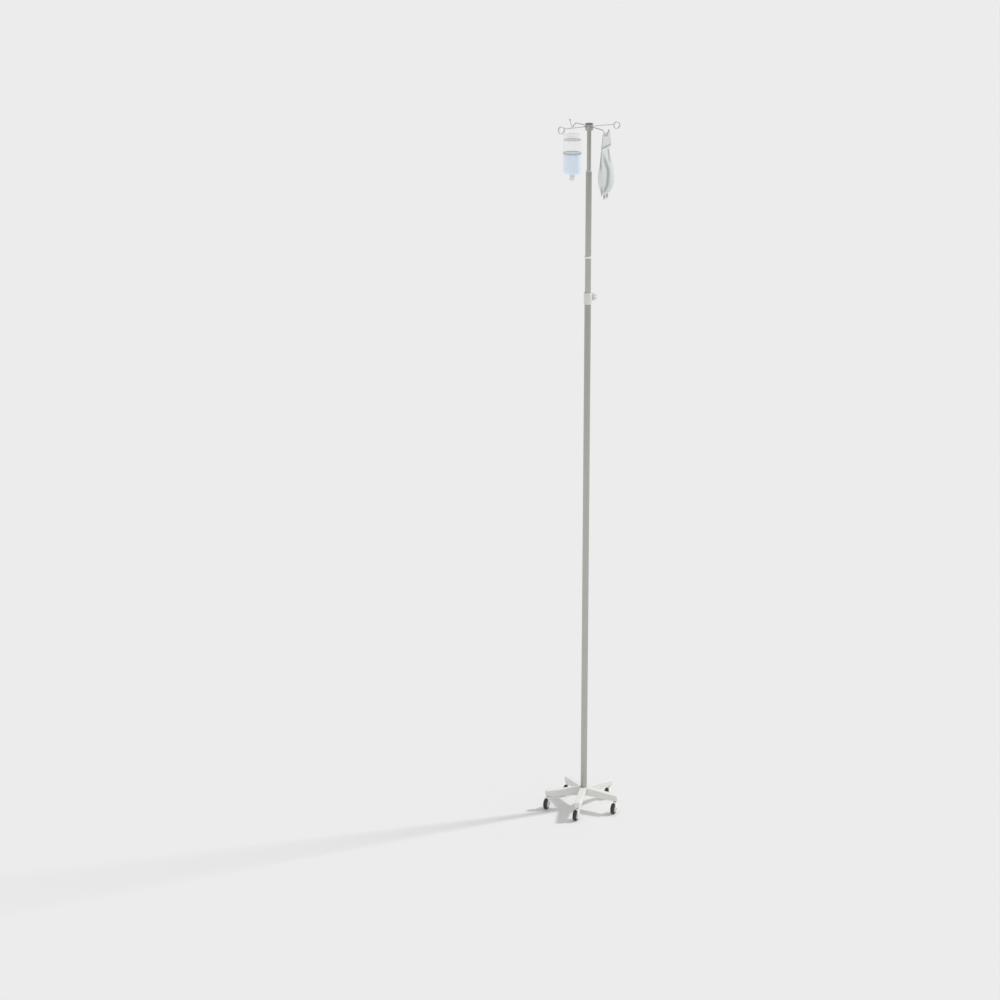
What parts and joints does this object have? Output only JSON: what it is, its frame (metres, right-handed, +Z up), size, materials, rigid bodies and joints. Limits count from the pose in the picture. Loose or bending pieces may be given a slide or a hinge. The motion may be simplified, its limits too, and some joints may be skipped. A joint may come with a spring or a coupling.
{
  "type": "infusion stand",
  "caption": "Slim telescopic infusion stand on a small castor base, with ring and hook arms carrying a hanging bottle and a soft bag.",
  "frame": {"origin": "pole axis at floor level, close to the middle of the bottom of the bounding box", "axes": "+Z up along the pole; the two ring arms lie along X with the clamp knob towards +X; the two hook arms lie along Y"},
  "size_m": [0.2491, 0.2607, 2.1995],
  "materials": {
    "white_paint": "white powder coat, semi-gloss",
    "white_plastic": "white moulded nylon",
    "grey_plastic": "light grey moulded ABS",
    "black_rubber": "dark grey thermoplastic rubber tread",
    "satin_steel": "satin-ground stainless tube",
    "bright_steel": "bright stainless wire and fasteners",
    "dark_cap": "dark grey end cap",
    "clear_plastic": "clear blown polypropylene",
    "blue_liquid": "pale blue infusion liquid",
    "bag_film": "clear flexible film filled with liquid",
    "violet_rubber": "violet-blue rubber stopper"
  },
  "bodies": {
    "base": {"star_base": "white_paint", "base_washer": "bright_steel", "base_bolt": "bright_steel", "lower_plug": "satin_steel", "lower_tube": "satin_steel", "clamp_collar": "grey_plastic", "collar_bush": "white_plastic", "castor_1_stem": "bright_steel", "castor_2_stem": "bright_steel", "castor_3_stem": "bright_steel", "castor_4_stem": "bright_steel", "castor_5_stem": "bright_steel"},
    "clamp_spindle": {"clamp_screw": "bright_steel"},
    "clamp_knob": {"clamp_knob": "grey_plastic"},
    "middle": {"middle_tube": "satin_steel", "middle_guide": "grey_plastic", "stop_ring": "white_plastic", "middle_top_bush": "grey_plastic"},
    "upper": {"upper_tube": "satin_steel", "upper_guide": "grey_plastic", "hook_head": "satin_steel", "head_cap": "dark_cap", "head_screw": "bright_steel", "ring_arm_right": "bright_steel", "ring_arm_left": "bright_steel", "hook_arm_back": "bright_steel", "hook_arm_front": "bright_steel"},
    "bottle": {"bottle_shell": "clear_plastic", "bottle_liquid": "blue_liquid", "bottle_bail": "clear_plastic", "bottle_stopper": "violet_rubber", "bottle_port": "clear_plastic"},
    "bag": {"bag_pouch": "bag_film", "bag_port_left": "bag_film", "bag_cap_left": "white_plastic", "bag_port_right": "bag_film", "bag_cap_right": "white_plastic"},
    "castor_1_swivel": {"castor_1_fork": "white_plastic", "castor_1_axle": "bright_steel"},
    "castor_1_roll": {"castor_1_wheel": "white_plastic", "castor_1_tyre": "black_rubber"},
    "castor_2_swivel": {"castor_2_fork": "white_plastic", "castor_2_axle": "bright_steel"},
    "castor_2_roll": {"castor_2_wheel": "white_plastic", "castor_2_tyre": "black_rubber"},
    "castor_3_swivel": {"castor_3_fork": "white_plastic", "castor_3_axle": "bright_steel"},
    "castor_3_roll": {"castor_3_wheel": "white_plastic", "castor_3_tyre": "black_rubber"},
    "castor_4_swivel": {"castor_4_fork": "white_plastic", "castor_4_axle": "bright_steel"},
    "castor_4_roll": {"castor_4_wheel": "white_plastic", "castor_4_tyre": "black_rubber"},
    "castor_5_swivel": {"castor_5_fork": "white_plastic", "castor_5_axle": "bright_steel"},
    "castor_5_roll": {"castor_5_wheel": "white_plastic", "castor_5_tyre": "black_rubber"}
  },
  "joints": [
    {"name": "clamp_spindle_travel", "type": "slide", "parent": "base", "child": "clamp_spindle", "axis": [1, 0, 0], "range_m": [0, 0.00151]},
    {"name": "clamp_knob_turn", "type": "hinge", "parent": "clamp_spindle", "child": "clamp_knob", "pos_m": [0, 0, 1.667], "axis": [1, 0, 0], "range_deg": [0, 540]},
    {"name": "middle_tube_slide", "type": "slide", "parent": "base", "child": "middle", "axis": [0, 0, 1], "range_m": [-0.105, 0.15]},
    {"name": "upper_tube_slide", "type": "slide", "parent": "middle", "child": "upper", "axis": [0, 0, 1], "range_m": [-0.1, 0.08]},
    {"name": "bottle_swing", "type": "hinge", "parent": "upper", "child": "bottle", "pos_m": [0, 0.09896, 2.1748], "axis": [0, 1, 0], "range_deg": [-25, 25]},
    {"name": "bag_swing", "type": "hinge", "parent": "upper", "child": "bag", "pos_m": [0, -0.09896, 2.1748], "axis": [0, 1, 0], "range_deg": [-5, 5]},
    {"name": "castor_1_swivel_turn", "type": "hinge", "parent": "base", "child": "castor_1_swivel", "pos_m": [0.11085, 0.02661, 0.04], "axis": [0, 0, 1], "continuous": true},
    {"name": "castor_1_wheel_turn", "type": "hinge", "parent": "castor_1_swivel", "child": "castor_1_roll", "pos_m": [0.10332, 0.02537, 0.01667], "axis": [0.6561, -0.7547, 0], "continuous": true},
    {"name": "castor_2_swivel_turn", "type": "hinge", "parent": "base", "child": "castor_2_swivel", "pos_m": [0.00894, 0.11365, 0.04], "axis": [0, 0, 1], "continuous": true},
    {"name": "castor_2_wheel_turn", "type": "hinge", "parent": "castor_2_swivel", "child": "castor_2_roll", "pos_m": [0.00141, 0.1124, 0.01667], "axis": [0.6561, -0.7547, 0], "continuous": true},
    {"name": "castor_3_swivel_turn", "type": "hinge", "parent": "base", "child": "castor_3_swivel", "pos_m": [-0.10532, 0.04363, 0.04], "axis": [0, 0, 1], "continuous": true},
    {"name": "castor_3_wheel_turn", "type": "hinge", "parent": "castor_3_swivel", "child": "castor_3_roll", "pos_m": [-0.11285, 0.04238, 0.01667], "axis": [0.6561, -0.7547, 0], "continuous": true},
    {"name": "castor_4_swivel_turn", "type": "hinge", "parent": "base", "child": "castor_4_swivel", "pos_m": [-0.07404, -0.08669, 0.04], "axis": [0, 0, 1], "continuous": true},
    {"name": "castor_4_wheel_turn", "type": "hinge", "parent": "castor_4_swivel", "child": "castor_4_roll", "pos_m": [-0.08157, -0.08793, 0.01667], "axis": [0.6561, -0.7547, 0], "continuous": true},
    {"name": "castor_5_swivel_turn", "type": "hinge", "parent": "base", "child": "castor_5_swivel", "pos_m": [0.05956, -0.0972, 0.04], "axis": [0, 0, 1], "continuous": true},
    {"name": "castor_5_wheel_turn", "type": "hinge", "parent": "castor_5_swivel", "child": "castor_5_roll", "pos_m": [0.05203, -0.09845, 0.01667], "axis": [0.6561, -0.7547, 0], "continuous": true}
  ],
  "couplings": [
    {"joint": "clamp_spindle_travel", "follows": "clamp_knob_turn", "m_per_rad": 0.00015915}
  ]
}
